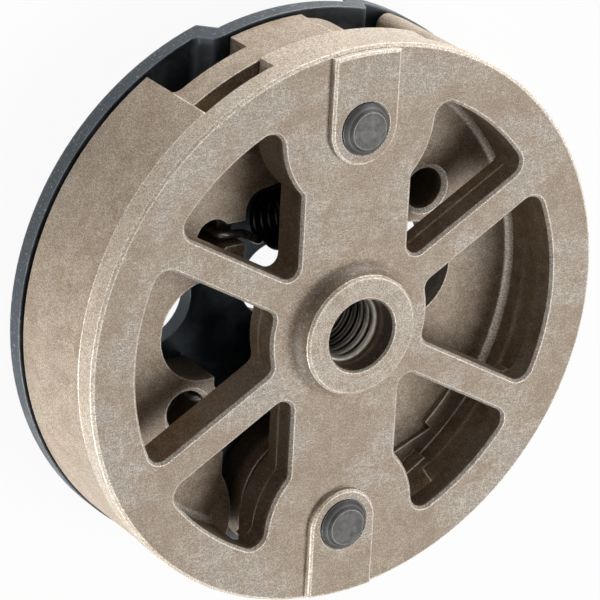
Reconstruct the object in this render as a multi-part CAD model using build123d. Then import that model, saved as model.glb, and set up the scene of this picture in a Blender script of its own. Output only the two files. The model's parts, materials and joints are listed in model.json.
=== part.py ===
from build123d import *
import math
import os

# Centrifugal clutch: a spoked carrier, two hinged shoes, a stamped back plate, two pivot pins, two springs.
# Millimetres. The turning axis is Z, the back plate lies on Z = 0 and the threaded boss points up.

# Carrier
rim_radius = 39.0
rim_width = 6.6
rim_thickness = 3.3
face_height = 21.0
edge_chamfer = 0.4
web_thickness = 5.3
web_half_width = 8.4
web_to_shoe_wall_gap = 1.0
hub_radius = 12.2
hub_barrel_radius = 8.35
hub_barrel_drop = 9.0
spoke_angle = 30.0
spoke_width = 4.6
window_outer_fillet = 2.0
window_inner_fillet = 1.6
window_bend_fillet = 1.2
boss_radius = 8.35
boss_height = 2.8
boss_base_fillet = 1.8
boss_edge_chamfer = 0.35
thread_radius = 5.0
thread_mouth_chamfer = 0.3
pad_half_width = 5.0
pad_height = 1.0
pad_edge_chamfer = 0.3
pad_inset = 0.5
pin_boss_radius = 11.7
pin_boss_thickness = 6.6
pin_hole_chamfer = 0.25

# Pivot pins
pivot_inset = 10.8
pin_radius = 3.5
pin_stand = 1.0
pin_end_chamfer = 1.0
pin_tenon_radius = 2.5
rivet_head_radius = 3.7
rivet_head_height = 1.0

# Back plate
plate_overhang = 0.05
plate_thickness = 2.4
plate_centre_hole_radius = 5.3
plate_window_radius = 6.1
plate_window_offset = 19.2
emboss_rise = 3.1
emboss_half_width = 14.0
emboss_shift = 1.0
emboss_wall_angle = 24.0
emboss_edge_fillet = 1.4
emboss_base_fillet = 1.2

# Shoes
shoe_setback = 0.2
shoe_wall_thickness = 6.0
shoe_floor_height = 10.75
shoe_floor_fillet = 1.5
shoe_edge_chamfer = 0.3
shoe_plate_gap = 0.4
shoe_start_angle = 123.5
shoe_toe_offset = 13.8
shoe_toe_fillet = 1.6
shoe_toe_nose = 1.4
shoe_toe_nose_top = 19.5
shoe_toe_arc_radius = 11.8
shoe_toe_arc_x = 22.6
shoe_toe_arc_drop = 0.7
shoe_inner_edge = 10.4
shoe_lower_edge = 14.2
shoe_relief_radius = 7.15
shoe_relief_x = 15.5
shoe_relief_y = 1.2
neck_setback = 0.5
neck_width = 6.9
neck_thickness = 4.4
neck_end_angle = 104.0
neck_overlap_angle = 2.0
neck_corner_fillet = 1.4
ledge_rise = 0.85
ledge_width = 3.3
ledge_start_angle = 146.0
ledge_corner_angle = 132.3
ledge_jog = 1.4
ledge_end_drop = 0.8
eye_radius = 9.7
eye_bearing_radius = 7.5
eye_block_width = 10.7
arm_setback = 1.8
arm_outer_angle = 122.0
arm_corner_drop = 11.2
arm_corner_fillet = 3.0
free_hole_x = 18.1
free_hole_drop = 15.6
free_hole_radius = 2.9
free_hole_collar = 2.1
free_hole_chamfer = 0.6
channel_radius = 1.0
pocket_x = 15.2
pocket_radius = 2.6
anchor_floor_height = 4.2
anchor_slot_width = 3.2
anchor_slot_depth = 3.4

# Springs
spring_eye_gap = 2.8
spring_line_height = 9.0
spring_coil_radius = 4.0
spring_coil_half_length = 6.6
spring_wire_radius = 0.6
spring_hook_depth = 3.4
spring_bend_radius = 1.0

# Fits
eye_clearance = 0.05
press_clearance = 0.01
side_clearance = 0.3
rim_clearance = 0.15
hook_clearance = 0.05

# Working allowances: a length that passes every edge, and the error in picking an edge by its radius
reach = 60.0
pick_error = 0.01

# Places that follow from the sizes above
rim_inner_radius = rim_radius - rim_width
pivot_radius = rim_radius - pivot_inset
pin_hole_radius = pin_radius + press_clearance
plate_radius = rim_radius + plate_overhang
shoe_radius = rim_radius - shoe_setback
shoe_wall_inner = shoe_radius - shoe_wall_thickness
shoe_wall_middle = shoe_wall_inner + shoe_wall_thickness / 2
neck_radius = rim_radius - neck_setback
neck_inner_radius = neck_radius - neck_width
arm_radius = shoe_wall_inner - arm_setback
arm_corner_y = pivot_radius - arm_corner_drop
free_hole_y = pivot_radius - free_hole_drop
ledge_inner_radius = shoe_wall_inner - ledge_width
spring_line_y = pivot_radius - eye_radius - spring_eye_gap - spring_coil_radius
deep_radius = shoe_wall_inner - web_to_shoe_wall_gap
rim_back = face_height - rim_thickness
web_back = face_height - web_thickness
pin_boss_back = face_height - pin_boss_thickness
barrel_back = face_height - hub_barrel_drop
pad_top = face_height + pad_height
boss_top = face_height + boss_height
pin_top = pad_top + pin_stand
emboss_top = emboss_rise + plate_thickness
eye_bottom = emboss_top + side_clearance
neck_front = pin_boss_back - side_clearance
neck_back = neck_front - neck_thickness
shoe_front = rim_back - rim_clearance
shoe_back = plate_thickness + shoe_plate_gap
ledge_height = shoe_floor_height + ledge_rise
origin = (0, 0, 0)


def slab(sketch, low, high):
    """Solid of a flat outline between two heights."""
    return extrude(Pos(0, 0, low) * sketch, amount=high - low, dir=(0, 0, 1))


def half_turn(shape):
    """The same shape on the other side of the axis."""
    return Rot(0, 0, 180) * shape


def polar(radius, angle):
    """Point of the XY plane at a radius and an angle in degrees."""
    return radius * math.cos(math.radians(angle)), radius * math.sin(math.radians(angle))


def ring_edges(shape, radius, height):
    """Round edges of one radius at one height."""
    circles = shape.edges().filter_by(GeomType.CIRCLE).filter_by_position(Axis.Z, height, height)
    return [edge for edge in circles if abs(edge.radius - radius) < pick_error]


def start_edges(shape, height):
    """Straight edges at one height on the face where the friction wall starts."""
    across = Vector(*polar(1, shoe_start_angle + 90))
    lines = shape.edges().filter_by(GeomType.LINE).filter_by_position(Axis.Z, height, height)
    return [edge for edge in lines if abs(edge.center().dot(across)) < pick_error]


def pin_outline(half_width):
    """U-shaped outline round a pivot at the origin, open towards the rim."""
    return Circle(half_width) + Pos(0, reach / 2) * Rectangle(2 * half_width, reach)


# Carrier windows
spoke_half_width = spoke_width / 2
spoke_tan = math.tan(math.radians(spoke_angle))
spoke_rise = spoke_half_width / math.cos(math.radians(spoke_angle))
spoke_apex = spoke_half_width / math.sin(math.radians(spoke_angle))
spoke_far = reach * spoke_tan


def side_window():
    """Window on the right, between two spokes."""
    wedge = Polygon(
        (spoke_apex, 0),
        (reach, spoke_far - spoke_rise),
        (reach, spoke_rise - spoke_far),
        align=None,
    )
    outline = (Circle(rim_inner_radius) - Circle(hub_radius)) & wedge
    outline = fillet(outline.vertices().sort_by_distance(origin)[-2:], window_outer_fillet)
    return fillet(outline.vertices().sort_by_distance(origin)[:2], window_inner_fillet)


def upper_window():
    """Window at the upper right, between the web, the pin boss and a spoke."""
    wedge = Polygon(
        (web_half_width, web_half_width * spoke_tan + spoke_rise),
        (reach, spoke_far + spoke_rise),
        (reach, 2 * reach),
        (web_half_width, 2 * reach),
        align=None,
    )
    outline = (Circle(rim_inner_radius) & wedge) - Pos(0, pivot_radius) * Circle(pin_boss_radius)
    outline = fillet(outline.vertices().sort_by_distance(origin)[-2:], window_outer_fillet)
    outline = fillet(outline.vertices().sort_by_distance(origin)[:1], window_inner_fillet)
    bend = (web_half_width, pivot_radius - math.sqrt(pin_boss_radius**2 - web_half_width**2), 0)
    return fillet(outline.vertices().sort_by_distance(bend)[:1], window_bend_fillet)


upper_right = upper_window()
upper_left = mirror(upper_right, about=Plane.YZ)
right = side_window()
windows = [right, half_turn(right), upper_right, half_turn(upper_right), upper_left, half_turn(upper_left)]

# Carrier
carrier = slab(Circle(rim_radius), rim_back, face_height)
carrier = chamfer(ring_edges(carrier, rim_radius, face_height), edge_chamfer)
carrier += slab(Circle(deep_radius), web_back, face_height)
pin_boss_outline = Pos(0, pivot_radius) * pin_outline(pin_boss_radius) & Circle(rim_radius)
pin_boss = slab(pin_boss_outline, pin_boss_back, face_height - edge_chamfer)
carrier += pin_boss + half_turn(pin_boss)
for window in windows:
    carrier -= slab(window, 0, face_height)
    carrier -= extrude(Pos(0, 0, face_height - edge_chamfer) * window, amount=edge_chamfer, taper=-45)
carrier += slab(Circle(hub_barrel_radius), barrel_back, face_height)
pad_outline = Pos(0, pivot_radius) * pin_outline(pad_half_width) & Circle(rim_radius - pad_inset)
pad = slab(pad_outline, face_height, pad_top)
pad = chamfer(pad.edges().filter_by_position(Axis.Z, pad_top, pad_top), pad_edge_chamfer)
carrier += pad + half_turn(pad)
carrier += slab(Circle(boss_radius), face_height, boss_top)
carrier = fillet(ring_edges(carrier, boss_radius, face_height), boss_base_fillet)
carrier = chamfer(ring_edges(carrier, boss_radius, boss_top), boss_edge_chamfer)
carrier -= slab(Circle(thread_radius), 0, boss_top)
for height in (boss_top, barrel_back):
    carrier = chamfer(ring_edges(carrier, thread_radius, height), thread_mouth_chamfer)
for side in (1, -1):
    carrier -= Pos(0, side * pivot_radius) * slab(Circle(pin_hole_radius), 0, pin_top)
carrier = chamfer(ring_edges(carrier, pin_hole_radius, pad_top), pin_hole_chamfer)

# Left shoe: friction wall
start_slope = math.tan(math.radians(shoe_start_angle))
wall_zone = Polygon(
    origin[:2],
    polar(reach, shoe_start_angle),
    (-reach, reach),
    (-reach, -reach),
    (-shoe_toe_offset, -reach),
    (-shoe_toe_offset, 0),
    align=None,
)
wall = (Circle(shoe_radius) - Circle(shoe_wall_inner)) & wall_zone
wall = fillet(wall.vertices().sort_by_distance((-shoe_toe_offset, -reach, 0))[:1], shoe_toe_fillet)
shoe = slab(wall, shoe_back, shoe_front)
wall_rims = ring_edges(shoe, shoe_radius, shoe_front) + ring_edges(shoe, shoe_radius, shoe_back)
shoe = chamfer(wall_rims, shoe_edge_chamfer)

# Left shoe: floor behind the windows, with the round relief for the hub and a collar round the free hole
toe_edge = shoe_toe_offset - shoe_toe_nose
floor_zone = Polygon(
    (-shoe_inner_edge, -shoe_inner_edge * start_slope),
    (reach / start_slope, reach),
    (-reach, reach),
    (-reach, -reach),
    (-toe_edge, -reach),
    (-toe_edge, -shoe_toe_nose_top),
    (-shoe_lower_edge, -shoe_toe_nose_top + shoe_lower_edge - toe_edge),
    (-shoe_lower_edge, -shoe_relief_y),
    (-shoe_inner_edge, -shoe_relief_y),
    align=None,
)
floor = Circle(shoe_wall_middle) & floor_zone
relief = Pos(-shoe_relief_x, -shoe_relief_y) * Circle(shoe_relief_radius)
relief_way = Pos(-shoe_relief_x / 2, -shoe_relief_y) * Rectangle(shoe_relief_x, shoe_relief_radius)
collar = Pos(-free_hole_x, -free_hole_y) * Circle(free_hole_radius + free_hole_collar)
floor = floor - relief - relief_way + (collar - relief)
shoe += slab(floor, shoe_back, shoe_floor_height)
toe_arc = Pos(-shoe_toe_arc_x, -pivot_radius - shoe_toe_arc_drop) * Circle(shoe_toe_arc_radius)
shoe = fillet(ring_edges(shoe, shoe_wall_inner, shoe_floor_height), shoe_floor_fillet)
shoe += slab(toe_arc & Circle(shoe_wall_middle), eye_bottom, shoe_floor_height)

# Left shoe: stepped neck and arm out to the pivot eye
neck_zone = Polygon(
    origin[:2],
    polar(reach, neck_end_angle),
    (-reach, reach),
    polar(2 * reach, shoe_start_angle + neck_overlap_angle),
    align=None,
)
neck = (Circle(neck_radius) - Circle(neck_inner_radius)) & neck_zone
shoe += slab(neck, neck_back, neck_front)
shoe = fillet(start_edges(shoe, neck_front) + start_edges(shoe, neck_back), neck_corner_fillet)
eye_block = Pos(-eye_block_width / 2, pivot_radius + reach / 2) * Rectangle(eye_block_width, reach)
eye = (Pos(0, pivot_radius) * Circle(eye_radius) + eye_block) & Circle(neck_radius)
bearing = Pos(0, pivot_radius) * Circle(eye_bearing_radius) & Circle(neck_radius)
shoe += slab(eye, eye_bottom, ledge_height)
shoe += slab(eye - Circle(neck_inner_radius) + bearing, eye_bottom, neck_front)
arm = Polygon(
    (-shoe_inner_edge, spring_line_y),
    (-shoe_inner_edge, arm_corner_y),
    (0, pivot_radius - eye_radius),
    (0, pivot_radius),
    polar(arm_radius, neck_end_angle),
    polar(arm_radius, arm_outer_angle),
    (-shoe_wall_inner / 2, spring_line_y),
    align=None,
)
arm = fillet(arm.vertices().sort_by_distance((-shoe_inner_edge, arm_corner_y, 0))[:1], arm_corner_fillet)
shoe += slab(arm, eye_bottom, shoe_floor_height)
ledge_zone = Polygon(
    origin[:2],
    polar(2 * reach, ledge_corner_angle),
    polar(2 * reach, ledge_start_angle),
    align=None,
)
ledge_step = Polygon(
    polar(ledge_inner_radius + ledge_jog, ledge_corner_angle),
    (-eye_radius, pivot_radius - ledge_end_drop),
    (0, pivot_radius),
    polar(reach, neck_end_angle),
    polar(reach, ledge_corner_angle),
    align=None,
)
ledge = (Circle(shoe_wall_middle) - Circle(ledge_inner_radius)) & ledge_zone
ledge += Circle(shoe_wall_middle) & ledge_step
shoe += slab(ledge, shoe_floor_height, ledge_height)
shoe -= slab(Pos(0, pivot_radius) * Circle(pin_radius + eye_clearance), 0, shoe_front)

# Left shoe: spring anchors, a slotted pocket near the pivot and a round hole at the free end
pocket = slab(Pos(-pocket_x, spring_line_y) * Circle(pocket_radius), anchor_floor_height, shoe_front)
slot_length = pocket_x - spring_coil_half_length
slot_outline = Pos(-pocket_x + slot_length / 2, spring_line_y) * Rectangle(slot_length, anchor_slot_width)
slot = slab(slot_outline, shoe_floor_height - anchor_slot_depth, shoe_front)
hole_outline = Pos(-free_hole_x, -free_hole_y) * Circle(free_hole_radius)
free_hole = slab(hole_outline, anchor_floor_height, shoe_floor_height)
sink_height = shoe_floor_height - free_hole_chamfer
countersink = extrude(Pos(0, 0, sink_height) * hole_outline, amount=free_hole_chamfer, taper=-45)
channel_plane = Plane((-free_hole_x, -spring_line_y, spring_line_height), z_dir=(1, 0, 0))
channel = extrude(channel_plane * Circle(channel_radius), amount=free_hole_x)
shoe_left = shoe - pocket - slot - free_hole - countersink - channel
shoe_right = half_turn(shoe_left)

# Back plate: a stamped disc, raised under each shoe eye
raised = extrude(pin_outline(emboss_half_width), amount=emboss_top, taper=emboss_wall_angle)
raised = fillet(raised.faces().sort_by(Axis.Z)[-1].edges(), emboss_edge_fillet)
emboss_shrink = plate_thickness / math.cos(math.radians(emboss_wall_angle))
hollow = extrude(pin_outline(emboss_half_width - emboss_shrink), amount=emboss_rise, taper=emboss_wall_angle)
emboss_place = Pos(-emboss_shift, pivot_radius)
raised = emboss_place * raised & slab(Circle(plate_radius), 0, emboss_top)
hollow = emboss_place * hollow
hollow += slab(Pos(0, pivot_radius) * Circle(pin_tenon_radius + press_clearance), 0, emboss_top)
hollow += slab(Pos(plate_window_offset, 0) * Circle(plate_window_radius), 0, plate_thickness)
back_plate = slab(Circle(plate_radius) - Circle(plate_centre_hole_radius), 0, plate_thickness)
back_plate = back_plate + raised + half_turn(raised)
disc_edges = ring_edges(back_plate, plate_radius, plate_thickness)
disc_edges += ring_edges(back_plate, plate_centre_hole_radius, plate_thickness)
top_edges = back_plate.edges().filter_by_position(Axis.Z, plate_thickness, plate_thickness)
back_plate = fillet([edge for edge in top_edges if edge not in disc_edges], emboss_base_fillet)
back_plate = back_plate - hollow - half_turn(hollow)

# Pivot pins: a round pin, shouldered on the plate and riveted behind it
pin = slab(Circle(pin_radius), emboss_top, pin_top)
pin = chamfer(ring_edges(pin, pin_radius, pin_top), pin_end_chamfer)
pin += slab(Circle(pin_tenon_radius), emboss_rise - rivet_head_height, emboss_top)
pin += slab(Circle(rivet_head_radius), emboss_rise - rivet_head_height, emboss_rise)
pin_upper = Pos(0, pivot_radius) * pin
pin_lower = half_turn(pin_upper)

# Springs: close-wound turns as a ribbed tube, with the wire ends bent in and hooked down into the anchors
turns = math.floor(spring_coil_half_length / spring_wire_radius)
pitch = 2 * spring_coil_half_length / turns
bore_radius = spring_coil_radius - 2 * spring_wire_radius
groove_radius = spring_coil_radius - spring_wire_radius / 2
coil_outline = [(-spring_coil_half_length, bore_radius), (-spring_coil_half_length, groove_radius)]
for turn in range(turns):
    turn_start = turn * pitch - spring_coil_half_length
    coil_outline.append((turn_start + pitch / 2, spring_coil_radius))
    coil_outline.append((turn_start + pitch, groove_radius))
coil_outline.append((spring_coil_half_length, bore_radius))
coil = revolve(Polygon(*coil_outline, align=None), axis=Axis.X)


def hook(from_x, to_x):
    """Bent wire from one end of the coil to its anchor."""
    bends = FilletPolyline(
        (from_x, 0, spring_coil_radius - spring_wire_radius),
        (from_x, 0, 0),
        (to_x, 0, 0),
        (to_x, 0, -spring_hook_depth),
        radius=spring_bend_radius,
    )
    return sweep(Plane(bends @ 0, z_dir=bends % 0) * Circle(spring_wire_radius), path=bends)


leg_x = spring_coil_half_length - spring_wire_radius / 2
hook_inset = spring_wire_radius + hook_clearance
pocket_hook_x = -pocket_x + pocket_radius - hook_inset
hole_half_chord = math.sqrt(free_hole_radius**2 - (free_hole_y - spring_line_y)**2)
hole_hook_x = free_hole_x - hole_half_chord + hook_inset
spring = coil + hook(-leg_x, pocket_hook_x) + hook(leg_x, hole_hook_x)
spring_upper = Pos(0, spring_line_y, spring_line_height) * spring
spring_lower = half_turn(spring_upper)

os.makedirs("parts", exist_ok=True)
nodes = {
    "carrier": carrier,
    "shoe_left": shoe_left,
    "shoe_right": shoe_right,
    "back_plate": back_plate,
    "pin_upper": pin_upper,
    "pin_lower": pin_lower,
    "spring_upper": spring_upper,
    "spring_lower": spring_lower,
}
for name, shape in nodes.items():
    export_step(shape, f"parts/{name}.step")
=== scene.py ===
import json
import math
from typing import NamedTuple

import bpy
from bpy.props import FloatProperty, FloatVectorProperty, IntProperty, PointerProperty
from bpy.types import Operator, Panel, PropertyGroup
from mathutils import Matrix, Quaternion, Vector


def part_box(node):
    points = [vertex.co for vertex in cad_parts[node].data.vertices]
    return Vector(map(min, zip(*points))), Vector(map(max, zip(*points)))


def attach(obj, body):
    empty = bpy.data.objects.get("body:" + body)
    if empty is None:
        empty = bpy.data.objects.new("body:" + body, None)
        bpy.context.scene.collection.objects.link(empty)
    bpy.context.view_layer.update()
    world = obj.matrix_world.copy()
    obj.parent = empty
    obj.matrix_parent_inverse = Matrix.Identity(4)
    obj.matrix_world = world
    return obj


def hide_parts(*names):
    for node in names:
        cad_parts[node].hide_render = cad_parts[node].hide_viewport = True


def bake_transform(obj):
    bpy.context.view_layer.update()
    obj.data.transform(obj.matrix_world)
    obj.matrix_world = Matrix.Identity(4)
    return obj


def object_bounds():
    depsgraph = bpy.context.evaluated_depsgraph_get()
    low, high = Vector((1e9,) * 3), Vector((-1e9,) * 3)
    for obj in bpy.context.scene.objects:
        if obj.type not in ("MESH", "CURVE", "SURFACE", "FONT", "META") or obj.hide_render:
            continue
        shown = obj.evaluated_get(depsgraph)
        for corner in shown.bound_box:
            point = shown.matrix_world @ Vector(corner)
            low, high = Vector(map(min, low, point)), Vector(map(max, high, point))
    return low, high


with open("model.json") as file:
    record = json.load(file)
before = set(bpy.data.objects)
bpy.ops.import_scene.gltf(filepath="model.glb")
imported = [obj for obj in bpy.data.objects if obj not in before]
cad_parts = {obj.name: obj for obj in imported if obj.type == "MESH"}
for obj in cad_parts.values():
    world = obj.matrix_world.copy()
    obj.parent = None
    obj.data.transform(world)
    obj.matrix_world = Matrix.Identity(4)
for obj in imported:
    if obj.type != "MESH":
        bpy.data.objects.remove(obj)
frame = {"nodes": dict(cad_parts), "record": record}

bl_info = {
    "name": "Centrifugal Clutch Dressing",
    "version": (1, 0, 0),
    "blender": (4, 5, 0),
    "location": "View3D > Sidebar > Clutch",
    "description": "Finishes for a packed clutch, with its spindle thread, wound springs and stage",
    "category": "Object",
}

# Sizes that come from the packed part, in metres
MM = 0.001
CAD_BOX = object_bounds()
MOUNTS = {mount["name"]: mount for mount in frame["record"]["mounts"]}
SPINDLE = MOUNTS["spindle_thread"]
BORE_RADIUS = SPINDLE["dims"]["r_mm"] * MM
BORE_TOP = SPINDLE["pos_m"][2] + SPINDLE["dims"]["length_mm"] * MM / 2
BORE_BOTTOM = SPINDLE["pos_m"][2] - SPINDLE["dims"]["length_mm"] * MM / 2
PLATE_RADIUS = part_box("back_plate")[1].x
RIM_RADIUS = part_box("carrier")[1].x
BOSS_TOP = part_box("carrier")[1].z
PIVOT_RADIUS = (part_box("pin_upper")[0].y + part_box("pin_upper")[1].y) / 2
SHOE_NODES = ("shoe_left", "shoe_right")
PIN_NODES = ("pin_upper", "pin_lower")
SPRING_NODES = ("spring_upper", "spring_lower")


def length(name, description, default):
    """Length property in metres."""
    return FloatProperty(
        name=name, description=description, default=default, min=0.0, unit="LENGTH", precision=5
    )


def share(name, description, default):
    """Share property from 0 to 1."""
    return FloatProperty(
        name=name, description=description, default=default, min=0.0, max=1.0, subtype="FACTOR"
    )


def power(name, description, default):
    """Lamp power property in watts."""
    return FloatProperty(
        name=name, description=description, default=default, min=0.0, unit="POWER"
    )


def spot(name, description, default):
    """Place property in metres."""
    return FloatVectorProperty(
        name=name, description=description, default=default, size=3, subtype="TRANSLATION"
    )


def angle(name, description, degrees):
    """Angle property, given in degrees."""
    return FloatProperty(
        name=name, description=description, default=math.radians(degrees), subtype="ANGLE"
    )


def count(name, description, default, least):
    """Whole number property."""
    return IntProperty(name=name, description=description, default=default, min=least)


def colour(name, description, default):
    """Linear colour property."""
    return FloatVectorProperty(
        name=name, description=description, default=default, min=0.0, max=1.0, size=3,
        subtype="COLOR",
    )


class SinteredLook(PropertyGroup):
    """Pressed and sintered steel of the carrier and the shoes"""

    body: colour("Body", "Main tan grey of the pressed steel", (0.46, 0.367, 0.276))
    brown: colour("Brown", "Warmer oxide patches", (0.33, 0.238, 0.157))
    cool: colour("Cool", "Cooler grey where the oxide is thin", (0.43, 0.386, 0.336))
    # Pale also serves as painted light on the outer round side, besides the real rub marks.
    pale: colour("Pale", "Pale rubbed patches on the front", (0.70, 0.615, 0.51))
    # Edge also serves as painted highlight on sloping faces, chamfers and fillets, besides the real
    # bare edges.
    edge: colour("Edge", "Bare metal on rubbed edges", (0.86, 0.80, 0.71))
    # Painted shade, not oil or dust: this dark colour is laid where shade falls, in corners,
    # hollows, the gap round each pin and on shaded walls.
    painted_shade: colour("Grime", "Oil and dust in the corners and holes", (0.045, 0.033, 0.022))
    shoe_shade: share("Shoe shade", "Level of the shoes beside the carrier", 0.88)
    patch_size: length("Patch size", "Width of the colour patches", 8.0 * MM)
    rub_size: length("Rub size", "Length of the rub marks", 1.8 * MM)
    grain_size: length("Grain size", "Width of the powder grain", 0.2 * MM)
    grain_depth: length("Grain depth", "Height of the powder grain", 0.02 * MM)
    edge_width: length("Edge width", "Width of the rounded and rubbed edges", 0.26 * MM)
    corner_reach: length("Corner reach", "Distance at which a wall makes a corner dirty", 3.0 * MM)


class PlateLook(PropertyGroup):
    """Blued sheet steel of the back plate"""

    body: colour("Body", "Blue black of the sheet", (0.022, 0.031, 0.042))
    bloom: colour("Bloom", "Greyer bloom on the bluing", (0.064, 0.081, 0.097))
    cut: colour("Cut edge", "Greyer sheared edge", (0.052, 0.066, 0.08))
    chip: colour("Chip", "Bare specks on the sheared edge", (0.34, 0.37, 0.39))
    bloom_size: length("Bloom size", "Width of the bloom patches", 4.0 * MM)
    edge_width: length("Edge width", "Width of the rounded sheet edges", 0.3 * MM)
    grain_depth: length("Grain depth", "Height of the fine grain of the sheet", 0.012 * MM)


class PinLook(PropertyGroup):
    """Hardened steel of the pivot pins"""

    body: colour("Body", "Grey of the turned pin", (0.06, 0.058, 0.056))
    dark: colour("Dark", "Darker tempering marks", (0.035, 0.034, 0.033))
    bright: colour("Bright", "Bare rings and edges", (0.52, 0.52, 0.525))
    mark_size: length("Mark size", "Width of the tempering marks", 0.9 * MM)
    edge_width: length("Edge width", "Width of the rounded pin edges", 0.15 * MM)
    ring_size: length("Ring size", "Distance between the turning rings", 0.22 * MM)
    ring_depth: length("Ring depth", "Depth of the turning rings", 0.01 * MM)


class SpringSizes(PropertyGroup):
    """Wound wire of the two springs"""

    wire: length("Wire radius", "Radius of the spring wire", 0.6 * MM)
    coil: length("Coil radius", "Outer radius of the coil", 4.0 * MM)
    half_length: length("Half length", "Half the length of the coil", 6.6 * MM)
    bend: length("Bend radius", "Radius of the bends in the hooks", 1.0 * MM)
    hook_depth: length("Hook depth", "Depth of the hook below the middle of the coil", 3.4 * MM)
    leave: angle("Leaving angle", "Angle round the coil at which the wire leaves it", 211.8)
    steps: count("Steps", "Sections in one turn of the wire", 36, 12)
    body: colour("Body", "Oil-black of the wire", (0.02, 0.019, 0.018))
    bright: colour("Bright", "Drawn steel of the legs and of rubbed turns", (0.30, 0.285, 0.265))
    draw_depth: length("Draw depth", "Depth of the drawing marks", 0.006 * MM)


class ThreadSizes(PropertyGroup):
    """Left-hand thread in the hub"""

    pitch: length("Pitch", "Rise of the thread in one turn", 1.5 * MM)
    depth: length("Depth", "Depth of the thread flanks", 0.85 * MM)
    plain_mouth: length("Plain mouth", "Length of the plain bore before the thread", 2.3 * MM)
    steps: count("Steps", "Sections in one turn of the thread", 96, 24)
    body: colour("Body", "Cut metal of the thread", (0.40, 0.36, 0.30))
    crest: colour("Crest", "Bright metal of the crests", (0.74, 0.69, 0.61))
    # The thread turns to this darker colour deeper in the hole.
    tint: colour("Oil", "Dark oil deep in the hole", (0.03, 0.024, 0.018))
    chatter_depth: length("Chatter depth", "Depth of the tool's marks", 0.01 * MM)


class StageLook(PropertyGroup):
    """Floor, lamps and camera"""

    floor: colour("Floor", "Pale studio floor", (0.9, 0.9, 0.9))
    floor_glow: share("Floor glow", "Share of the floor's white that no shadow takes away", 0.94)
    sky: share("Sky", "Strength of the even white light", 0.08)
    key: power("Key lamp", "Power of the lamp over the front face", 5.9)
    side: power("Side lamp", "Power of the low lamp on the left", 6.8)
    rear: power("Rear lamp", "Power of the low lamp behind", 7.2)
    key_place: spot("Key place", "Key lamp, from the middle of the clutch", (0.36, -0.2, 0.74))
    side_place: spot("Side place", "Side lamp, from the middle", (-0.62, -0.46, 0.0))
    rear_place: spot("Rear place", "Rear lamp, from the middle", (0.4, 0.68, 0.0))
    lamp_width: length("Lamp width", "Width of the lamps", 0.5)
    low_lamp_height: length("Low lamp height", "Height of the side and rear lamps", 0.024)
    aim: spot("Aim", "Point that the camera looks at", (-0.00815, 0.0056, 0.021))
    azimuth: angle("Azimuth", "Bearing of the camera from the aim", 142.29)
    elevation: angle("Elevation", "Height of the camera over the front face", 49.57)
    roll: angle("Roll", "Turn of the camera about its own line of sight", 123.39)
    distance: length("Distance", "Distance of the camera from the aim", 0.513)
    lens: FloatProperty(
        name="Lens", description="Focal length in millimetres", default=238.7, min=1.0,
        unit="CAMERA",
    )


LOOKS = {
    "clutch_sintered": SinteredLook,
    "clutch_plate": PlateLook,
    "clutch_pin": PinLook,
    "clutch_spring": SpringSizes,
    "clutch_thread": ThreadSizes,
    "clutch_stage": StageLook,
}


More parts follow.
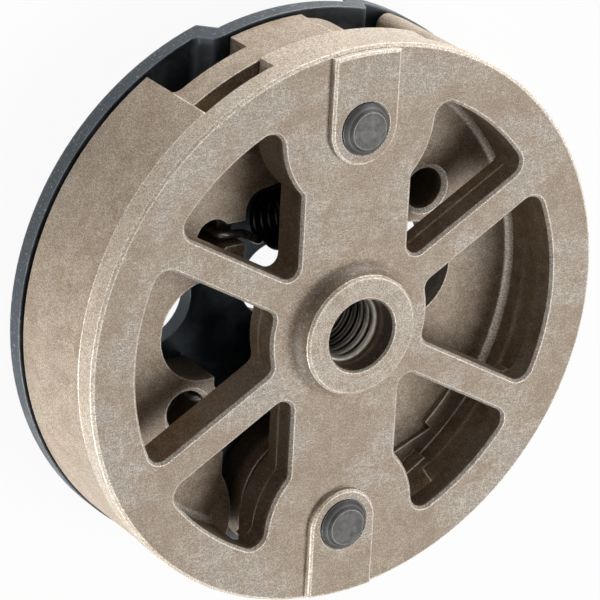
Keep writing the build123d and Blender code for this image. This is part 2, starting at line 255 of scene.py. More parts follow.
class Finish:
    """One material, built from procedural nodes."""

    # Shares of the normal along the axis between which a face comes to count as front
    FRONT = (0.9, 0.99)
    # Softness of the two limits of a sloping face
    LEAN_STEP = 0.12
    # Match of the rounded and the flat normal at which an edge begins, and at which it is full
    BENT = (0.9995, 0.98)
    # Openness from which an edge comes to count as an outer one
    OUTER = (0.5, 0.75)
    # Rays that look for corners and edges from one point
    RAYS = 4

    def __init__(self, name):
        self.material = bpy.data.materials.new(name)
        self.material.use_nodes = True
        self.tree = self.material.node_tree
        self.tree.nodes.clear()
        self.output = self.node("ShaderNodeOutputMaterial")
        self.place = self.node("ShaderNodeTexCoord").outputs["Object"]
        self.normal = self.node("ShaderNodeNewGeometry").outputs["Normal"]

    def node(self, kind, inputs=None, **settings):
        """New node with its settings, and with values or links on its inputs."""
        made = self.tree.nodes.new(kind)
        for name, value in settings.items():
            setattr(made, name, value)
        for name, value in (inputs or {}).items():
            self.feed(made.inputs[name], value)
        return made

    def feed(self, socket, value):
        """Link a socket to an output, or set it to a plain value."""
        if isinstance(value, bpy.types.NodeSocket):
            self.tree.links.new(value, socket)
        else:
            socket.default_value = value

    def noise(self, size, detail=4.0, rough=0.55, warp=0.0, place=None):
        """Cloudy value from 0 to 1 with features of one size."""
        inputs = {
            "Vector": place or self.place,
            "Scale": 1.0 / size,
            "Detail": detail,
            "Roughness": rough,
            "Distortion": warp,
        }
        return self.node("ShaderNodeTexNoise", inputs).outputs["Fac"]

    def stretched(self, turn, shape):
        """The object's own place, turned about the axis and stretched."""
        inputs = {"Vector": self.place, "Rotation": (0.0, 0.0, turn), "Scale": shape}
        return self.node("ShaderNodeMapping", inputs).outputs["Vector"]

    def ramp(self, value, low, high, start=0.0, end=1.0):
        """Smooth step of a value from one level to another."""
        inputs = {
            "Value": value,
            "From Min": low,
            "From Max": high,
            "To Min": start,
            "To Max": end,
        }
        made = self.node("ShaderNodeMapRange", inputs, interpolation_type="SMOOTHSTEP")
        return made.outputs["Result"]

    def sums(self, operation, first, second):
        """Arithmetic on two values."""
        made = self.node("ShaderNodeMath", operation=operation)
        self.feed(made.inputs[0], first)
        self.feed(made.inputs[1], second)
        return made.outputs[0]

    def both(self, first, second):
        """Product of two masks, or of a mask and a share."""
        return self.sums("MULTIPLY", first, second)

    def either(self, first, second):
        """Larger of two masks."""
        return self.sums("MAXIMUM", first, second)

    def blend(self, factor, first, second, way="MIX"):
        """Colour between two colours."""
        made = self.node("ShaderNodeMix", data_type="RGBA", blend_type=way)
        self.feed(made.inputs["Factor"], factor)
        for socket, value in ((made.inputs[6], first), (made.inputs[7], second)):
            linked = isinstance(value, bpy.types.NodeSocket)
            self.feed(socket, value if linked else (*value, 1.0))
        return made.outputs[2]

    def lean(self):
        """Share of the normal along the axis."""
        return self.node("ShaderNodeSeparateXYZ", {"Vector": self.normal}).outputs["Z"]

    def facing_up(self):
        """Mask of the faces that look along the axis."""
        return self.ramp(self.lean(), *self.FRONT)

    def leaning(self, least, most):
        """Mask of the faces that lean between two shares of the axis."""
        lean = self.lean()
        over = self.ramp(lean, least, least + self.LEAN_STEP)
        return self.both(over, self.ramp(lean, most, most - self.LEAN_STEP))

    def vector(self, operation, first, second=None):
        """Arithmetic on places."""
        made = self.node("ShaderNodeVectorMath", operation=operation)
        self.feed(made.inputs[0], first)
        if second is not None:
            self.feed(made.inputs[1], second)
        return made.outputs["Value" if operation in ("LENGTH", "DOT_PRODUCT") else "Vector"]

    def radius(self, place=None):
        """Distance from the turning axis, or from the axis of another place."""
        flat = self.vector("MULTIPLY", place or self.place, (1.0, 1.0, 0.0))
        return self.vector("LENGTH", flat)

    def pin_radius(self):
        """Distance from the axis of the nearer pivot pin."""
        folded = self.vector("ABSOLUTE", self.place)
        return self.radius(self.vector("SUBTRACT", folded, (0.0, PIVOT_RADIUS, 0.0)))

    def rings(self, radius, size):
        """Cloudy value that changes only with a radius, as turning marks do."""
        line = self.node("ShaderNodeCombineXYZ", {"X": radius}).outputs["Vector"]
        return self.noise(size, detail=3.0, rough=0.7, place=line)

    def height(self):
        """Height along the turning axis."""
        return self.node("ShaderNodeSeparateXYZ", {"Vector": self.place}).outputs["Z"]

    def openness(self, reach):
        """1 on open faces, less in corners and holes."""
        made = self.node("ShaderNodeAmbientOcclusion", {"Distance": reach}, samples=self.RAYS)
        return made.outputs["AO"]

    def rounded(self, width, openness):
        """Normal of slightly rounded edges, and the mask of outer edges."""
        bevel = self.node("ShaderNodeBevel", {"Radius": width}, samples=self.RAYS)
        normal = bevel.outputs["Normal"]
        bent = self.ramp(self.vector("DOT_PRODUCT", normal, self.normal), *self.BENT)
        return normal, self.both(bent, self.ramp(openness, *self.OUTER))

    def bump(self, height, depth, normal):
        """Normal of a surface with small relief."""
        inputs = {"Strength": 1.0, "Distance": depth, "Height": height, "Normal": normal}
        return self.node("ShaderNodeBump", inputs).outputs["Normal"]

    def shader(self, colour, roughness, normal, metallic, specular=0.5):
        """Surface shader of the material."""
        inputs = {
            "Base Color": colour,
            "Roughness": roughness,
            "Normal": normal,
            "Metallic": metallic,
            "Specular IOR Level": specular,
        }
        made = self.node("ShaderNodeBsdfPrincipled", inputs)
        self.tree.links.new(made.outputs["BSDF"], self.output.inputs["Surface"])
        return self.material


class WearAndPaintedLight(NamedTuple):
    """How one sintered piece is rubbed, and how much painted shade and painted highlight it gets.
    """

    rubbed: float  # share of the pale rub marks, clouds and pits, and of the painted light on the outer round side
    shade: float  # level of the main colours
    bright_from: float  # height from which edges are rubbed bare and sloping faces get painted highlights
    slopes: tuple  # least and most lean of the sloping faces that get bare metal and painted highlight
    slope_wear_and_light: float  # share of bare metal and painted highlight on those faces
    pin_wall_shade: float  # share of painted shade on the walls near the pins
    gloss: float  # metallic share of those sloping faces


CARRIER_WEAR_AND_LIGHT = WearAndPaintedLight(
    rubbed=0.8,
    shade=1.0,
    bright_from=20.0 * MM,
    slopes=(0.55, 0.86),
    slope_wear_and_light=0.5,
    pin_wall_shade=0.6,
    gloss=0.0,
)
SHOE_WEAR_AND_LIGHT = WearAndPaintedLight(
    rubbed=0.25,
    shade=1.0,
    bright_from=9.6 * MM,
    slopes=(0.25, 0.97),
    slope_wear_and_light=0.9,
    pin_wall_shade=0.0,
    gloss=0.55,
)


class SinteredFinish(Finish):
    """Pressed steel with powder grain, oxide patches, rub marks and bare edges, with painted
    highlights on slopes, painted light on the outer side and painted shade in corners, hollows and
    gaps.
    """

    # Levels of noise between which a mark grows, then its least and most strength
    TAN = (0.37, 0.62)
    COOL = (0.46, 0.66)
    RUB = (0.51, 0.61)
    RUB_FIELD = (0.4, 0.6, 0.2, 1.0)
    TURNED = (0.85, 1.15, 0.05, 0.75)
    WORN_AND_LIT = (0.3, 0.55, 0.7, 1.0)
    SPECKLE = (0.34, 0.66, 0.58, 1.36)
    PIT = (0.5, 0.32)
    GLINT = (0.54, 0.7)
    ROUGHNESS = (0.3, 0.7, 0.45, 0.6)
    # Openness between which a corner gets painted shade, then its least and most painted shade
    CORNER_SHADE = (0.75, 0.25, 0.0, 0.8)
    # Turn and stretch of the three sets of rub marks
    RUB_SHAPES = ((0.5, (1.0, 3.5, 1.0)), (-0.7, (2.6, 1.0, 1.0)), (1.3, (2.5, 10.0, 2.5)))
    # Radii between which a mark grows, then its least and most strength
    # Painted light: the outer round side is made paler for how it is lit.
    RIM_LIGHT_BAND = (RIM_RADIUS - 2.2 * MM, RIM_RADIUS - 1.6 * MM)
    BOSS_FOOT = (10.6 * MM, 10.0 * MM)
    # Painted shade in the gap round each pin.
    PIN_GAP_SHADE = (3.95 * MM, 3.75 * MM, 0.0, 0.9)
    # Reaches of the painted shade deep down by the rim, and on the walls near the pins.
    DEEP_SHADE_REACH = (36.0 * MM, 35.0 * MM)
    WALL_REACH = (34.0 * MM, 33.0 * MM)
    PIN_WALL_SHADE_REACH = (26.0 * MM, 12.0 * MM)
    HUB_SLOPES = (10.4 * MM, 10.8 * MM)
    RIM_SLOPES = (36.0 * MM, 37.5 * MM, 1.0, 0.35)
    # Heights between which a mark grows, then its least and most strength
    # BOSS_WALL and BOSS_BRINK, with BOSS_FOOT, place the painted shade on the boss's wall.
    BOSS_WALL = (21.0 * MM, 21.6 * MM)
    BOSS_BRINK = (BOSS_TOP - 0.1 * MM, BOSS_TOP - 0.4 * MM, 0.0, 0.75)
    BOSS_FACE = (BOSS_TOP - 0.5 * MM, BOSS_TOP - 0.1 * MM)
    # Depths of the painted shade deep down, and on the walls near the pins.
    DEEP_SHADE_DEPTH = (10.2 * MM, 8.6 * MM)
    WALL_DEPTH = (20.6 * MM, 19.8 * MM)
    BRIGHT_STEP = 0.6 * MM
    # Strengths of single marks, as shares
    # Strength of the painted light on the outer round side.
    RIM_LIGHT_SHARE = 0.6
    # Strength of the painted shade deep down.
    DEEP_SHADE_SHARE = 0.75
    # Bare metal and painted highlight on the slopes by the hub.
    HUB_SLOPE_WEAR_AND_LIGHT = 0.15
    EDGE_SHINE = 0.5
    EDGE_GLOSS = 0.6
    PIT_SHARE = 0.7
    GLINT_SHARE = 0.6
    # Patchiness of the painted shade in corners.
    CORNER_SHADE_PATCHES = 0.3
    PATCH_RELIEF = 0.8
    SPECULAR = 0.35
    # Width of the patches and the pits beside the clouds and the grain, and of the turning rings
    PATCHES_IN_CLOUD = 3
    GRAINS_IN_PIT = 2.5
    RING_SIZE = 0.35 * MM

    def __init__(self, name, look, marking):
        super().__init__(name)
        self.look = look
        self.marking = marking
        self.clouds = self.noise(look.patch_size, detail=5.0, rough=0.6, warp=0.5)
        patch = look.patch_size / self.PATCHES_IN_CLOUD
        self.mottle = self.noise(patch, detail=8.0, rough=0.7, warp=0.3)
        self.grain = self.noise(look.grain_size, detail=3.0, rough=0.6)
        self.front = self.facing_up()
        self.from_axis = self.radius()
        self.from_pin = self.pin_radius()
        self.level = self.height()
        self.open = self.openness(look.corner_reach)
        self.up_high = self.ramp(self.level, marking.bright_from, marking.bright_from + self.BRIGHT_STEP)

    def steel(self):
        """Tan steel with brown patches and cooler clouds."""
        shades = (self.look.body, self.look.brown, self.look.cool)
        tan, brown, cool = (tuple(self.marking.shade * part for part in shade) for shade in shades)
        tone = self.blend(self.ramp(self.mottle, *self.TAN), brown, tan)
        clouds = self.ramp(self.clouds, *self.COOL, 0.0, self.marking.rubbed)
        return self.blend(clouds, tone, cool)

    def rub(self, tone):
        """Pale rub marks on the front, and painted light: a paler band on the outer round side."""
        marks = None
        for turn, shape in self.RUB_SHAPES:
            place = self.stretched(turn, shape)
            mark = self.noise(self.look.rub_size, detail=8.0, rough=0.78, warp=0.5, place=place)
            mark = self.ramp(mark, *self.RUB)
            marks = mark if marks is None else self.either(marks, mark)
        marks = self.both(self.both(marks, self.ramp(self.clouds, *self.RUB_FIELD)), self.front)
        tone = self.blend(self.both(marks, self.marking.rubbed), tone, self.look.pale)
        # Painted light: the outer round side is made paler for how it is lit, scaled with the
        # rubbing.
        most = self.RIM_LIGHT_SHARE * self.marking.rubbed
        band = self.ramp(self.from_axis, *self.RIM_LIGHT_BAND, 0.0, most)
        band = self.both(band, self.sums("SUBTRACT", 1.0, self.front))
        return self.blend(band, tone, self.look.pale)

    def mark_boss(self, tone):
        """Painted shade on the boss's wall and in the gap round each pin, and the turned face of
        the boss.
        """
        # Painted shade: the boss's wall is darkened where it is in shade.
        wall = self.ramp(self.from_axis, *self.BOSS_FOOT)
        wall = self.both(wall, self.ramp(self.level, *self.BOSS_WALL))
        wall = self.both(wall, self.ramp(self.level, *self.BOSS_BRINK))
        tone = self.blend(wall, tone, self.look.painted_shade)
        # Painted shade in the gap round each pin.
        tone = self.blend(self.ramp(self.from_pin, *self.PIN_GAP_SHADE), tone, self.look.painted_shade)
        lathe = self.sums("ADD", self.rings(self.from_axis, self.RING_SIZE), self.mottle)
        turned = self.both(self.front, self.ramp(self.level, *self.BOSS_FACE))
        turned = self.both(turned, self.ramp(lathe, *self.TURNED))
        return self.blend(turned, tone, self.look.pale)

    def paint_shade(self, tone):
        """Painted shade in corners, deep between the weights and on the walls near the pins."""
        # Painted shade in corners, darker where less of the surroundings is open.
        corner = self.sums("ADD", self.open, self.both(self.mottle, self.CORNER_SHADE_PATCHES))
        tone = self.blend(self.ramp(corner, *self.CORNER_SHADE), tone, self.look.painted_shade)
        # Painted shade deep down near the rim.
        deep_shade = self.ramp(self.level, *self.DEEP_SHADE_DEPTH)
        deep_shade = self.both(deep_shade, self.ramp(self.from_axis, *self.DEEP_SHADE_REACH))
        tone = self.blend(self.both(deep_shade, self.DEEP_SHADE_SHARE), tone, self.look.painted_shade)
        # Painted shade on the walls near the pins.
        walls = self.ramp(self.level, *self.WALL_DEPTH)
        walls = self.both(walls, self.ramp(self.from_axis, *self.WALL_REACH))
        pin_wall_shade = self.ramp(self.from_pin, *self.PIN_WALL_SHADE_REACH, 0.0, self.marking.pin_wall_shade)
        return self.blend(self.both(walls, pin_wall_shade), tone, self.look.painted_shade)

    def bare_and_bright(self, tone):
        """Bare edges, and bare metal with painted highlight on sloping faces: colour, normal and
        metallic share.
        """
        rounded, edges = self.rounded(self.look.edge_width, self.open)
        normal = self.blend(self.up_high, self.normal, rounded)
        least, most = self.HUB_SLOPE_WEAR_AND_LIGHT, self.marking.slope_wear_and_light
        slopes = self.ramp(self.from_axis, *self.HUB_SLOPES, least, most)
        slopes = self.both(self.leaning(*self.marking.slopes), slopes)
        edge_shine = self.EDGE_SHINE + self.EDGE_GLOSS * self.marking.gloss
        shine = self.either(self.both(edges, edge_shine), self.both(slopes, self.marking.gloss))
        shine = self.both(shine, self.up_high)
        slopes = self.both(slopes, self.ramp(self.from_axis, *self.RIM_SLOPES))
        # Edges get bare metal; sloping faces, chamfers and fillets get bare metal and painted
        # highlight.
        worn_and_lit = self.both(self.either(edges, slopes), self.ramp(self.mottle, *self.WORN_AND_LIT))
        tone = self.blend(self.both(worn_and_lit, self.up_high), tone, self.look.edge)
        return tone, normal, shine

    def powder(self, tone):
        """Speckle of the powder grain, with brown pits and pale glints on the rubbed piece."""
        level = self.ramp(self.grain, *self.SPECKLE)
        speckle = self.node(
            "ShaderNodeCombineColor", {"Red": level, "Green": level, "Blue": level}
        )
        tone = self.blend(1.0, tone, speckle.outputs["Color"], "MULTIPLY")
        pits = self.noise(self.GRAINS_IN_PIT * self.look.grain_size, detail=3.0, rough=0.75)
        dark = self.both(self.ramp(pits, *self.PIT), self.PIT_SHARE * self.marking.rubbed)
        tone = self.blend(dark, tone, self.look.brown)
        light = self.both(self.ramp(pits, *self.GLINT), self.GLINT_SHARE * self.marking.rubbed)
        return self.blend(light, tone, self.look.pale)

    def made(self):
        """The whole material."""
        tone = self.paint_shade(self.mark_boss(self.rub(self.steel())))
        tone, normal, shine = self.bare_and_bright(tone)
        roughness = self.ramp(self.mottle, *self.ROUGHNESS)
        relief = self.sums("ADD", self.grain, self.both(self.mottle, self.PATCH_RELIEF))
        normal = self.bump(relief, self.look.grain_depth, normal)
        return self.shader(self.powder(tone), roughness, normal, shine, self.SPECULAR)


# Levels or radii between which the plate's marks grow, then their least and most strength
PLATE_BLOOM = (0.42, 0.72)
PLATE_RIM = (PLATE_RADIUS - 0.3 * MM, PLATE_RADIUS - 0.1 * MM)
PLATE_SHEAR = (0.35, 0.65, 0.55, 1.0)
PLATE_CHIPS = (0.56, 0.68, 0.0, 0.9)
PLATE_EDGES = (0.3, 0.7, 0.3, 0.95)
PLATE_ROUGHNESS = (0.35, 0.7, 0.34, 0.52)
PLATE_METAL = 0.3
# Grains, shear marks and chips across one patch of bloom
PLATE_GRAINS, PLATE_SHEARS, PLATE_SPECKS = 12, 3, 10
# Reach of the corners of the plate and the pins, in edge widths
CORNER_EDGES = 3


def plate_finish(name, look):
    """Blued sheet with grey bloom and a chipped sheared edge."""
    finish = Finish(name)
    bloom = finish.noise(look.bloom_size, detail=7.0, rough=0.65, warp=0.8)
    grain = finish.noise(look.bloom_size / PLATE_GRAINS, detail=3.0)
    tone = finish.blend(finish.ramp(bloom, *PLATE_BLOOM), look.body, look.bloom)
    rim = finish.ramp(finish.radius(), *PLATE_RIM)
    shear = finish.noise(look.bloom_size / PLATE_SHEARS, detail=6.0, rough=0.7)
    tone = finish.blend(finish.both(rim, finish.ramp(shear, *PLATE_SHEAR)), tone, look.cut)
    chips = finish.noise(look.bloom_size / PLATE_SPECKS, detail=5.0, rough=0.75)
    tone = finish.blend(finish.both(rim, finish.ramp(chips, *PLATE_CHIPS)), tone, look.chip)
    openness = finish.openness(CORNER_EDGES * look.edge_width)
    normal, edges = finish.rounded(look.edge_width, openness)
    tone = finish.blend(finish.both(edges, finish.ramp(bloom, *PLATE_EDGES)), tone, look.chip)
    roughness = finish.ramp(bloom, *PLATE_ROUGHNESS)
    normal = finish.bump(grain, look.grain_depth, normal)
    return finish.shader(tone, roughness, normal, PLATE_METAL)


# Levels between which the pins' marks grow, then their least and most strength
PIN_MARKS = (0.35, 0.7)
PIN_STREAKS = (0.5, 0.68, 0.0, 0.6)
PIN_ROUGHNESS = (0.3, 0.7, 0.36, 0.5)
# Bareness of the edges, and the metallic and specular shares
PIN_EDGES = 0.8
PIN_METAL = 0.3
PIN_SPECULAR = 0.3


def pin_finish(name, look):
    """Turned and hardened pin with tempering marks, turning rings and bare edges."""
    finish = Finish(name)
    marks = finish.noise(look.mark_size, detail=6.0, rough=0.65)
    lathe = finish.rings(finish.pin_radius(), look.ring_size)
    tone = finish.blend(finish.ramp(marks, *PIN_MARKS), look.body, look.dark)
    slope = finish.sums("SUBTRACT", 1.0, finish.facing_up())
    streaks = finish.both(slope, finish.ramp(lathe, *PIN_STREAKS))
    tone = finish.blend(streaks, tone, look.bright)
    openness = finish.openness(CORNER_EDGES * look.edge_width)
    normal, edges = finish.rounded(look.edge_width, openness)
    tone = finish.blend(finish.both(edges, PIN_EDGES), tone, look.bright)
    roughness = finish.ramp(marks, *PIN_ROUGHNESS)
    normal = finish.bump(lathe, look.ring_depth, normal)
    return finish.shader(tone, roughness, normal, PIN_METAL, PIN_SPECULAR)


# Levels between which the wire's marks grow, then their least and most strength
WIRE_WEAR = (0.6, 0.8, 0.0, 0.5)
WIRE_ROUGHNESS = (0.3, 0.7, 0.2, 0.34)
# Length over which a leg turns bare, how bare it is, and the metallic share
WIRE_LEG_STEP = 1.2 * MM
WIRE_LEG_BARE = 0.75
WIRE_METAL = 0.6
# Width of the wear and of the drawing marks, in wire radii
WIRE_WEAR_WIDTH, WIRE_DRAW_WIDTH = 3, 1 / 3


def spring_finish(name, look):
    """Oiled black wire, barer along the legs."""
    finish = Finish(name)
    marking = finish.noise(look.wire * WIRE_WEAR_WIDTH, detail=5.0, rough=0.65)
    draw = finish.noise(look.wire * WIRE_DRAW_WIDTH, detail=3.0)
    along = finish.node("ShaderNodeSeparateXYZ", {"Vector": finish.place}).outputs["X"]
    along = finish.sums("ABSOLUTE", along, 0.0)
    leg = finish.ramp(along, look.half_length, look.half_length + WIRE_LEG_STEP)
    bare_and_bright = finish.either(finish.both(leg, WIRE_LEG_BARE), finish.ramp(marking, *WIRE_WEAR))
    tone = finish.blend(bare_and_bright, look.body, look.bright)
    roughness = finish.ramp(marking, *WIRE_ROUGHNESS)
    normal = finish.bump(draw, look.draw_depth, finish.normal)
    return finish.shader(tone, roughness, normal, WIRE_METAL)


# Levels or heights between which the thread's marks grow, then their least and most strength
THREAD_STAIN = (0.45, 0.75)
THREAD_DEEP_TINT = (BORE_TOP - 3.4 * MM, BORE_TOP - 8.0 * MM, 0.0, 0.85)
THREAD_ROUGHNESS = (0.3, 0.7, 0.28, 0.45)
# Level of the stains, depth from which a crest is bare, its bareness, and the metallic share
THREAD_DARK = 0.55
THREAD_CREST_FROM = 0.8
THREAD_CREST_BARE = 0.7
THREAD_METAL = 0.7
# Stains and tool marks in one pitch
THREAD_STAINS, THREAD_CHATTERS = 2, 12


def thread_finish(name, look):
    """Cut thread, brighter on its crests and darker with depth."""
    finish = Finish(name)
    stain = finish.noise(look.pitch / THREAD_STAINS, detail=5.0, rough=0.65)
    chatter = finish.noise(look.pitch / THREAD_CHATTERS, detail=3.0)
    dark = tuple(THREAD_DARK * part for part in look.body)
    tone = finish.blend(finish.ramp(stain, *THREAD_STAIN), look.body, dark)
    crest_from = BORE_RADIUS - THREAD_CREST_FROM * look.depth
    crest = finish.ramp(finish.radius(), crest_from, BORE_RADIUS - look.depth)
    tone = finish.blend(finish.both(crest, THREAD_CREST_BARE), tone, look.crest)
    # Darker deeper in the hole.
    tone = finish.blend(finish.ramp(finish.height(), *THREAD_DEEP_TINT), tone, look.tint)
    roughness = finish.ramp(stain, *THREAD_ROUGHNESS)
    normal = finish.bump(chatter, look.chatter_depth, finish.normal)
    return finish.shader(tone, roughness, normal, THREAD_METAL)


def dress(nodes, material):
    """Give packed nodes one material."""
    for name in nodes:
        slots = frame["nodes"][name].data.materials
        slots.clear()
        slots.append(material)


def add_mesh(name, points, faces, material):
    """New smooth piece from points and faces."""
    mesh = bpy.data.meshes.new(name)
    mesh.from_pydata(points, [], faces)
    mesh.materials.append(material)
    mesh.polygons.foreach_set("use_smooth", [True] * len(mesh.polygons))
    mesh.update()
    piece = bpy.data.objects.new(name, mesh)
    bpy.context.scene.collection.objects.link(piece)
    return piece


def strip_faces(sections, corners):
    """Faces of a closed strip through sections with as many corners each, with flat ends."""
    faces = []
    for section in range(sections - 1):
        first = section * corners
        for corner in range(corners):
            after = (corner + 1) % corners
            near = (first + corner, first + after)
            faces.append((*near, first + corners + after, first + corners + corner))
    last = (sections - 1) * corners
    faces.append(tuple(reversed(range(corners))))
    faces.append(tuple(range(last, last + corners)))
    return faces


def curve(start, leave, end, arrive, steps):
    """Points after the start of a smooth curve between two points with given directions."""
    points = []
    for step in range(1, steps + 1):
        t = step / steps
        square, cube = t * t, t * t * t
        place = (2 * cube - 3 * square + 1) * start + (cube - 2 * square + t) * leave
        points.append(place + (3 * square - 2 * cube) * end + (cube - square) * arrive)
    return points


def tube_points(route, radius, corners):
    """Points of a round wire along a route, section by section."""
    points = []
    across = None
    for index, place in enumerate(route):
        after = route[min(index + 1, len(route) - 1)]
        ahead = (after - route[max(index - 1, 0)]).normalized()
        across = ahead.orthogonal() if across is None else across - ahead * across.dot(ahead)
        across = across.normalized()
        beside = ahead.cross(across)
        for corner in range(corners):
            turn = 2 * math.pi * corner / corners
            points.append(place + radius * (math.cos(turn) * across + math.sin(turn) * beside))
    return points


class CLUTCH_OT_carrier(Operator):
    """Dress the carrier as pressed steel, rubbed on its front"""

    bl_idname = "clutch.carrier"
    bl_label = "Carrier Finish"

    def execute(self, context):
        look = context.scene.clutch_sintered
        dress(("carrier",), SinteredFinish("sintered_carrier", look, CARRIER_WEAR_AND_LIGHT).made())
        return {"FINISHED"}


class CLUTCH_OT_shoes(Operator):
    """Dress the two shoes as pressed steel"""

    bl_idname = "clutch.shoes"
    bl_label = "Shoe Finish"

    def execute(self, context):
        look = context.scene.clutch_sintered
        marking = SHOE_WEAR_AND_LIGHT._replace(shade=look.shoe_shade)
        dress(SHOE_NODES, SinteredFinish("sintered_shoe", look, marking).made())
        return {"FINISHED"}


class CLUTCH_OT_plate(Operator):
    """Dress the back plate as blued sheet"""

    bl_idname = "clutch.plate"
    bl_label = "Back Plate Finish"

    def execute(self, context):
        dress(("back_plate",), plate_finish("blued_sheet", context.scene.clutch_plate))
        return {"FINISHED"}


class CLUTCH_OT_pins(Operator):
    """Dress the pivot pins as hardened steel"""

    bl_idname = "clutch.pins"
    bl_label = "Pin Finish"

    def execute(self, context):
        dress(PIN_NODES, pin_finish("hardened_pin", context.scene.clutch_pin))
        return {"FINISHED"}


class CLUTCH_OT_springs(Operator):
    """Wind the two springs from wire, each in two halves, one from each hook"""

    bl_idname = "clutch.springs"
    bl_label = "Springs"

    # Corners of the wire, and sections of the hook's bend, the leg and the sweep to the coil
    CORNERS = 10
    BEND_STEPS = 8
    LEG_STEPS = 5
    SWEEP_STEPS = 14
    # Sideways place of the hook in the pocket, and that of its leg as a share of it
    POCKET_DROP = -0.7 * MM
    LEG_DROP = 1.3
    # Length of the leg past the coil, where the shoe holds the wire in full
    LEG_RUN = 3.6 * MM
    # Pull of the curves in the bend, in bend radii, and in the sweep
    BEND_PULL = 1.65
    SWEEP_PULL = 4.0 * MM

    def execute(self, context):
        look = context.scene.clutch_spring
        material = spring_finish("oiled_wire", look)
        low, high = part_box(SPRING_NODES[0])
        middle = (low + high) / 2
        centre = Vector((0.0, middle.y, middle.z))
        halves = {
            "pocket": self.half(look, -1.0, -(low.x + look.wire), self.POCKET_DROP),
            "hole": self.half(look, 1.0, high.x - look.wire, 0.0),
        }
        for node, side in zip(SPRING_NODES, (1.0, -1.0)):
            for end, path in halves.items():
                route = [centre + point for point in path]
                route = [Vector((side * point.x, side * point.y, point.z)) for point in route]
                points = tube_points(route, look.wire, self.CORNERS)
                faces = strip_faces(len(route), self.CORNERS)
                piece = add_mesh(f"{node}_{end}_half", points, faces, material)
                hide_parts(node)
                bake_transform(piece)
        return {"FINISHED"}

    def half(self, look, way, hook, drop):
        """Route of the wire from one hook to the middle of the coil, round the origin."""
        ring = look.coil - look.wire
        last = look.half_length - look.wire
        leave = look.leave if way < 0 else math.pi - look.leave
        split = (math.pi - 2 * look.leave) / (4 * math.pi)
        turns = split + round(last / look.wire - 2 * split) / 2
        tip = Vector((way * hook, drop, -look.hook_depth))
        below = Vector((way * hook, drop, -look.bend))
        beside = Vector((way * (hook - look.bend), drop, 0.0))
        leg = Vector((way * (look.half_length + self.LEG_RUN), self.LEG_DROP * drop, 0.0))
        end = Vector((way * last, ring * math.cos(leave), ring * math.sin(leave)))
        inward = Vector((-way, 0.0, 0.0))
        upward = Vector((0.0, 0.0, 1.0))
        around = Vector((0.0, way * math.sin(leave), -way * math.cos(leave)))
        pull = self.BEND_PULL * look.bend
        run = leg - beside
        sweep = self.SWEEP_PULL * run.normalized()
        route = [tip, tip.lerp(below, 0.5), below]
        route += curve(below, pull * upward, beside, pull * inward, self.BEND_STEPS)
        route += curve(beside, run.length * inward, leg, run, self.LEG_STEPS)
        route += curve(leg, sweep, end, self.SWEEP_PULL * around, self.SWEEP_STEPS)
        sections = round(turns * look.steps)
        for step in range(1, sections + 1):
            done = step / sections
            bearing = leave - way * 2 * math.pi * turns * done
            across, up = ring * math.cos(bearing), ring * math.sin(bearing)
            route.append(Vector((way * last * (1 - done), across, up)))
        return route


class CLUTCH_OT_thread(Operator):
    """Cut the left-hand thread in the hub"""

    bl_idname = "clutch.thread"
    bl_label = "Spindle Thread"

    # Depth to which the root is sunk in the bore's wall
    ROOT_SINK = 0.02 * MM
    # Half the width of the root and of the crest, in pitches
    ROOT_HALF = 0.44
    CREST_HALF = 0.11
    # How fast the thread grows at its lower and its upper end, in depths per turn
    LOWER_GROWTH = 2
    UPPER_GROWTH = 3

    def execute(self, context):
        look = context.scene.clutch_thread
        top = BORE_TOP - look.plain_mouth
        turns = (top - BORE_BOTTOM) / look.pitch
        sections = round(turns * look.steps)
        root = BORE_RADIUS + self.ROOT_SINK
        points = []
        for section in range(sections + 1):
            done = section / sections
            bearing = -2 * math.pi * turns * done
            height = BORE_BOTTOM + (top - BORE_BOTTOM) * done
            lower = done * turns * self.LOWER_GROWTH
            upper = (1.0 - done) * turns * self.UPPER_GROWTH
            crest = BORE_RADIUS - look.depth * min(1.0, lower, upper)
            profile = (
                (root, -self.ROOT_HALF),
                (crest, -self.CREST_HALF),
                (crest, self.CREST_HALF),
                (root, self.ROOT_HALF),
            )
            for reach, rise in profile:
                z = height + rise * look.pitch
                points.append((reach * math.cos(bearing), reach * math.sin(bearing), z))
        material = thread_finish("cut_thread", look)
        faces = strip_faces(sections + 1, len(profile))
        piece = add_mesh("spindle_thread", points, faces, material)
        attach(piece, "frame")
        return {"FINISHED"}


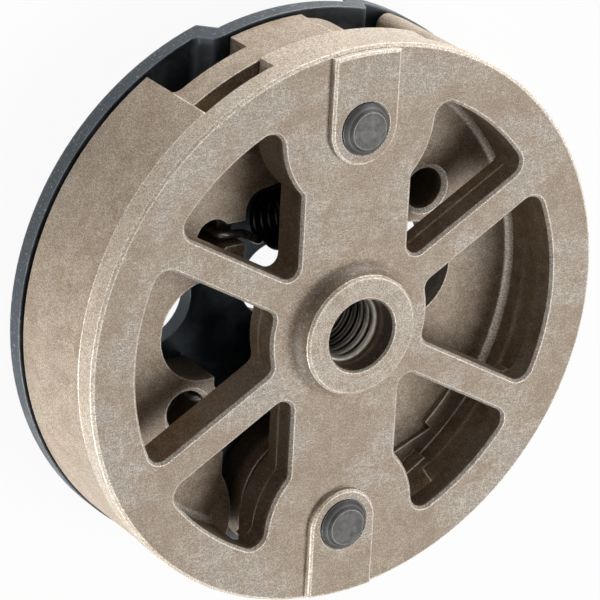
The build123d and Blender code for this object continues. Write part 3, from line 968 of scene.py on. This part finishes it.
class CLUTCH_OT_stage(Operator):
    """Set the pale floor, soft lamps, white backdrop and camera"""

    bl_idname = "clutch.stage"
    bl_label = "Stage"

    # Half the width of the floor, and its gap under the plate
    FLOOR_HALF = 3.0
    FLOOR_GAP = 0.2 * MM
    WHITE = (1.0, 1.0, 1.0, 1.0)
    # Sensor of the camera in millimetres, and the nearest that it sees
    SENSOR_WIDTH = 36.0
    NEAREST_SEEN = 0.01

    def execute(self, context):
        stage = context.scene.clutch_stage
        low = stage.low_lamp_height
        self.lay_floor(stage)
        self.fill_world(context, stage)
        self.hang_lamp(context, "key_lamp", stage.key_place, stage.key, stage.lamp_width)
        self.hang_lamp(context, "side_lamp", stage.side_place, stage.side, low)
        self.hang_lamp(context, "rear_lamp", stage.rear_place, stage.rear, low)
        self.place_camera(context, stage)
        context.scene.view_settings.view_transform = "Standard"
        return {"FINISHED"}

    def seen_rays(self, tree):
        """1 for rays that show the backdrop: camera, glossy and transmission rays."""
        path = tree.nodes.new("ShaderNodeLightPath")
        seen = path.outputs["Is Camera Ray"]
        for name in ("Is Glossy Ray", "Is Transmission Ray"):
            either = tree.nodes.new("ShaderNodeMath")
            either.operation = "MAXIMUM"
            tree.links.new(seen, either.inputs[0])
            tree.links.new(path.outputs[name], either.inputs[1])
            seen = either.outputs[0]
        return seen

    def lay_floor(self, stage):
        """Pale floor under the plate, white where it is seen, with the shadow left on it."""
        half = self.FLOOR_HALF
        low = CAD_BOX[0].z - self.FLOOR_GAP
        corners = [(-half, -half, low), (half, -half, low), (half, half, low), (-half, half, low)]
        material = bpy.data.materials.new("pale_floor")
        material.use_nodes = True
        tree = material.node_tree
        tree.nodes.clear()
        matt = tree.nodes.new("ShaderNodeBsdfDiffuse")
        matt.inputs["Color"].default_value = (*stage.floor, 1.0)
        glow = tree.nodes.new("ShaderNodeEmission")
        share_seen = tree.nodes.new("ShaderNodeMath")
        share_seen.operation = "MULTIPLY"
        share_seen.inputs[1].default_value = stage.floor_glow
        tree.links.new(self.seen_rays(tree), share_seen.inputs[0])
        mix = tree.nodes.new("ShaderNodeMixShader")
        tree.links.new(share_seen.outputs[0], mix.inputs["Fac"])
        tree.links.new(matt.outputs["BSDF"], mix.inputs[1])
        tree.links.new(glow.outputs["Emission"], mix.inputs[2])
        output = tree.nodes.new("ShaderNodeOutputMaterial")
        tree.links.new(mix.outputs["Shader"], output.inputs["Surface"])
        floor = add_mesh("floor", corners, [(0, 1, 2, 3)], material)

    def fill_world(self, context, stage):
        """Even white light, full white where it is seen."""
        world = bpy.data.worlds.new("white_room")
        context.scene.world = world
        world.use_nodes = True
        tree = world.node_tree
        background = tree.nodes["Background"]
        background.inputs["Color"].default_value = self.WHITE
        level = tree.nodes.new("ShaderNodeMapRange")
        level.inputs["To Min"].default_value = stage.sky
        level.inputs["To Max"].default_value = 1.0
        tree.links.new(self.seen_rays(tree), level.inputs["Value"])
        tree.links.new(level.outputs["Result"], background.inputs["Strength"])

    def hang_lamp(self, context, name, place, watts, height):
        """Soft lamp at a place from the middle of the clutch, turned to it."""
        lamp = bpy.data.lights.new(name, "AREA")
        lamp.energy = watts
        lamp.shape = "RECTANGLE"
        lamp.size = context.scene.clutch_stage.lamp_width
        lamp.size_y = height
        offset = Vector(place)
        holder = bpy.data.objects.new(name, lamp)
        holder.location = (CAD_BOX[0] + CAD_BOX[1]) / 2 + offset
        holder.rotation_mode = "QUATERNION"
        holder.rotation_quaternion = offset.to_track_quat("Z", "Y")
        context.scene.collection.objects.link(holder)

    def place_camera(self, context, stage):
        """Camera at the photograph's angle."""
        camera = bpy.data.cameras.new("photo_camera")
        camera.lens = stage.lens
        camera.sensor_width = self.SENSOR_WIDTH
        camera.clip_start = self.NEAREST_SEEN
        holder = bpy.data.objects.new("photo_camera", camera)
        flat, rise = math.cos(stage.elevation), math.sin(stage.elevation)
        bearing = stage.azimuth
        back = Vector((flat * math.cos(bearing), flat * math.sin(bearing), rise))
        holder.location = Vector(stage.aim) + back * stage.distance
        holder.rotation_mode = "QUATERNION"
        level = back.to_track_quat("Z", "Y")
        holder.rotation_quaternion = Quaternion(back, stage.roll) @ level
        context.scene.collection.objects.link(holder)
        context.scene.camera = holder


STEPS = (
    CLUTCH_OT_carrier,
    CLUTCH_OT_shoes,
    CLUTCH_OT_plate,
    CLUTCH_OT_pins,
    CLUTCH_OT_springs,
    CLUTCH_OT_thread,
    CLUTCH_OT_stage,
)


class CLUTCH_PT_sidebar(Panel):
    """Sizes, colours and steps of the clutch"""

    bl_idname = "CLUTCH_PT_sidebar"
    bl_label = "Clutch"
    bl_space_type = "VIEW_3D"
    bl_region_type = "UI"
    bl_category = "Clutch"

    def draw(self, context):
        for name, look in LOOKS.items():
            box = self.layout.box()
            box.label(text=look.__doc__)
            for key in look.__annotations__:
                box.prop(getattr(context.scene, name), key)
        for step in STEPS:
            self.layout.operator(step.bl_idname)


CLASSES = (*LOOKS.values(), *STEPS, CLUTCH_PT_sidebar)


def register():
    """Add the classes, and their sizes and looks to the scene."""
    for cls in CLASSES:
        bpy.utils.register_class(cls)
    for name, look in LOOKS.items():
        setattr(bpy.types.Scene, name, PointerProperty(type=look))


def unregister():
    """Take the classes, and their sizes and looks, away again."""
    for name in LOOKS:
        delattr(bpy.types.Scene, name)
    for cls in reversed(CLASSES):
        bpy.utils.unregister_class(cls)


def main():
    """Dress the clutch and set the stage."""
    register()
    bpy.ops.clutch.carrier()
    bpy.ops.clutch.shoes()
    bpy.ops.clutch.plate()
    bpy.ops.clutch.pins()
    bpy.ops.clutch.springs()
    bpy.ops.clutch.thread()
    bpy.ops.clutch.stage()


if __name__ == "__main__":
    main()
